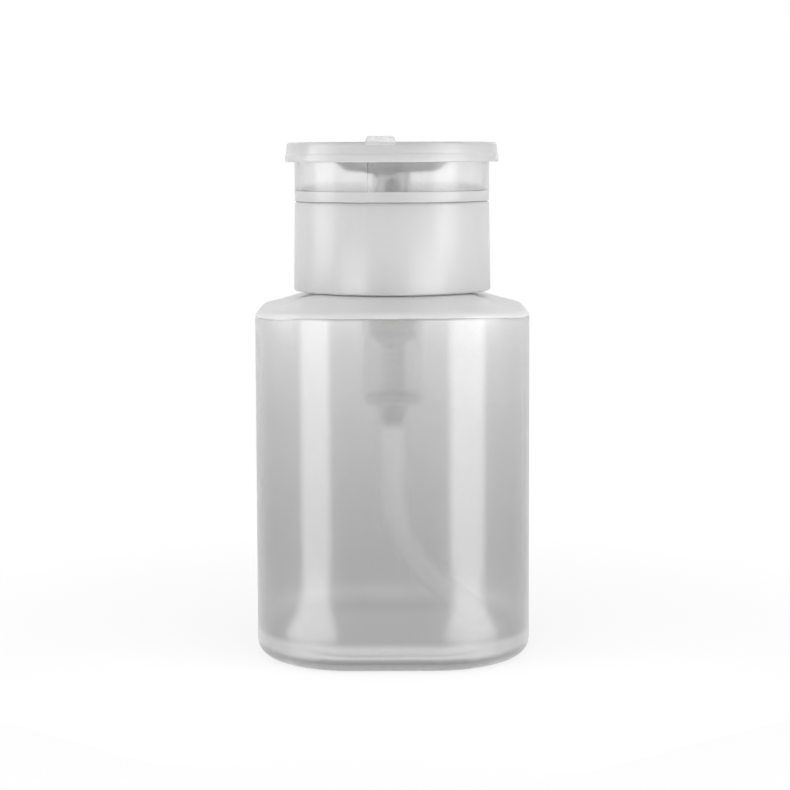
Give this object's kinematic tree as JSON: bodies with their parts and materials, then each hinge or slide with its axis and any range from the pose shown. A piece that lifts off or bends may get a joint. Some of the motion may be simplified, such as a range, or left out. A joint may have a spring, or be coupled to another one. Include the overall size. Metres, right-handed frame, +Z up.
{
  "type": "nail polish remover pump",
  "caption": "Frosted rounded-square pump bottle with a screw collar, a flip lid on a hinge and a sprung press dish that brings liquid up through its middle.",
  "frame": {"origin": "centre of the base on the surface that the bottle stands on, under the axis of the neck", "axes": "+Z up along the neck and pump axis, -Y towards the front with the lid's thumb tab, +X to the viewer's right"},
  "size_m": [0.0528, 0.0528, 0.0996],
  "materials": {
    "frosted_bottle": "natural frosted polypropylene, see-through, satin outside",
    "frosted_closure": "natural polypropylene, moulded, semi gloss and see-through",
    "clear_tube": "natural polyethylene, extruded",
    "soft_seal": "soft white polyethylene",
    "polished_steel": "stainless steel wire and balls"
  },
  "bodies": {
    "bottle_body": {"bottle": "frosted_bottle"},
    "pump_body": {"pump_housing": "frosted_closure", "neck_gasket": "soft_seal", "lock_sleeve": "frosted_closure", "ball_cage": "soft_seal", "return_spring": "polished_steel", "dip_tube": "clear_tube", "top_ring": "frosted_closure", "hinge_pin": "frosted_closure"},
    "collar_body": {"screw_collar": "frosted_closure"},
    "lid_body": {"flip_lid": "frosted_closure"},
    "dish_body": {"press_dish": "frosted_closure", "nozzle_insert": "soft_seal", "stem": "frosted_closure", "piston": "soft_seal", "stem_foot": "soft_seal"},
    "inlet_ball_body": {"inlet_ball": "polished_steel"},
    "outlet_ball_body": {"outlet_ball": "polished_steel"}
  },
  "joints": [
    {"name": "pump_lift", "type": "slide", "parent": "bottle_body", "child": "pump_body", "axis": [0, 0, 1], "range_m": [0, 0.00635]},
    {"name": "collar_turn", "type": "hinge", "parent": "pump_body", "child": "collar_body", "pos_m": [0, 0, 0.0786], "axis": [0, 0, 1], "range_deg": [0, 540]},
    {"name": "lid_hinge", "type": "hinge", "parent": "pump_body", "child": "lid_body", "pos_m": [0.00226, 0.02148, 0.09493], "axis": [-0.9945, 0.1045, 0], "range_deg": [0, 180]},
    {"name": "dish_press", "type": "slide", "parent": "pump_body", "child": "dish_body", "axis": [0, 0, -1], "range_m": [0, 0.0032], "stiffness_N_per_m": 1500, "springref_m": -0.0027, "deforming": ["return_spring"]},
    {"name": "inlet_ball_lift", "type": "slide", "parent": "pump_body", "child": "inlet_ball_body", "axis": [0, 0, 1], "range_m": [0, 0.0005]},
    {"name": "outlet_ball_lift", "type": "slide", "parent": "dish_body", "child": "outlet_ball_body", "axis": [0, 0, 1], "range_m": [0, 0.0009]}
  ],
  "couplings": [
    {"joint": "pump_lift", "follows": "collar_turn", "m_per_rad": 0.00067322}
  ]
}
